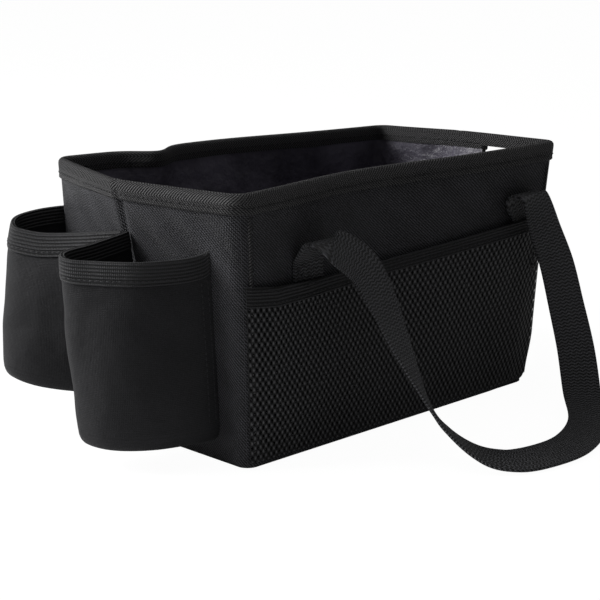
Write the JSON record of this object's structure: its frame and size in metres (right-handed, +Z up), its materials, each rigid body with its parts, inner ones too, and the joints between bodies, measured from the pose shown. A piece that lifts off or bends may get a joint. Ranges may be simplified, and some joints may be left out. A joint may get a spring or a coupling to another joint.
{
  "type": "tool storage caddy",
  "caption": "Open-top fabric tool caddy with stiffened walls, cup pockets on one end, a mesh pocket in front and strap handles. The ends are creased so that it folds flat.",
  "frame": {"origin": "centre of the underside, at the middle of the base fabric's lower face", "axes": "+Z up, -X towards the end with the cup pockets, -Y towards the side with the mesh pocket and the handle that lies forward"},
  "size_m": [0.3941, 0.3858, 0.2],
  "materials": {
    "fabric": "coated woven polyester, soft sheen",
    "board": "stiffener board, matte",
    "lining": "smooth lining, glossy",
    "binding": "twill tape, matte",
    "neoprene": "jersey-faced neoprene, satin",
    "elastic": "ribbed elastic, matte",
    "mesh": "knitted mesh, matte",
    "webbing": "woven webbing, satin"
  },
  "bodies": {
    "root": {"rear_wall_outer_fabric": "fabric", "rear_wall_board": "board", "rear_wall_lining": "lining", "rear_wall_rim_binding": "binding", "base_fabric": "fabric", "base_board": "board", "base_lining": "lining", "rear_handle_left_root": "webbing", "rear_handle_right_root": "webbing"},
    "right_rear_end": {"right_rear_end_outer_fabric": "fabric", "right_rear_end_board": "board", "right_rear_end_lining": "lining", "right_rear_end_rim_binding": "binding"},
    "right_front_end": {"right_front_end_outer_fabric": "fabric", "right_front_end_board": "board", "right_front_end_lining": "lining", "right_front_end_rim_binding": "binding"},
    "front_wall": {"front_wall_outer_fabric": "fabric", "front_wall_board": "board", "front_wall_lining": "lining", "front_wall_rim_binding": "binding", "front_mesh_pocket": "mesh", "mesh_pocket_elastic_band": "elastic", "front_handle_left_root": "webbing", "front_handle_right_root": "webbing"},
    "left_rear_end": {"left_rear_end_outer_fabric": "fabric", "left_rear_end_board": "board", "left_rear_end_lining": "lining", "left_rear_end_rim_binding": "binding", "rear_cup_pocket": "neoprene", "rear_cup_elastic": "elastic"},
    "left_front_end": {"left_front_end_outer_fabric": "fabric", "left_front_end_board": "board", "left_front_end_lining": "lining", "left_front_end_rim_binding": "binding", "front_cup_pocket": "neoprene", "front_cup_elastic": "elastic"},
    "front_handle": {"front_handle_strap": "webbing"},
    "rear_handle": {"rear_handle_strap": "webbing"}
  },
  "joints": [
    {"name": "fold", "type": "hinge", "parent": "root", "child": "right_rear_end", "pos_m": [0.162, 0.104, 0], "axis": [0, 0, 1], "range_deg": [0, 80], "deforming": ["base_fabric", "base_board", "base_lining"]},
    {"name": "right_crease", "type": "hinge", "parent": "right_rear_end", "child": "right_front_end", "pos_m": [0.1542, 0, 0], "axis": [0, 0, 1], "range_deg": [-160, 0]},
    {"name": "front_wall_corner", "type": "hinge", "parent": "right_front_end", "child": "front_wall", "pos_m": [0.162, -0.104, 0], "axis": [0, 0, 1], "range_deg": [0, 80]},
    {"name": "left_rear_corner", "type": "hinge", "parent": "root", "child": "left_rear_end", "pos_m": [-0.162, 0.104, 0], "axis": [0, 0, 1], "range_deg": [-80, 0]},
    {"name": "left_crease", "type": "hinge", "parent": "left_rear_end", "child": "left_front_end", "pos_m": [-0.1542, 0, 0], "axis": [0, 0, 1], "range_deg": [0, 160]},
    {"name": "front_handle_lift", "type": "hinge", "parent": "front_wall", "child": "front_handle", "pos_m": [0, -0.114, 0.1632], "axis": [-1, 0, 0], "range_deg": [0, 140]},
    {"name": "rear_handle_lift", "type": "hinge", "parent": "root", "child": "rear_handle", "pos_m": [0, 0.114, 0.1632], "axis": [1, 0, 0], "range_deg": [0, 150]}
  ],
  "couplings": [
    {"joint": "right_crease", "follows": "fold", "ratio": -2},
    {"joint": "front_wall_corner", "follows": "fold", "ratio": 1},
    {"joint": "left_rear_corner", "follows": "fold", "ratio": -1},
    {"joint": "left_crease", "follows": "fold", "ratio": 2}
  ]
}
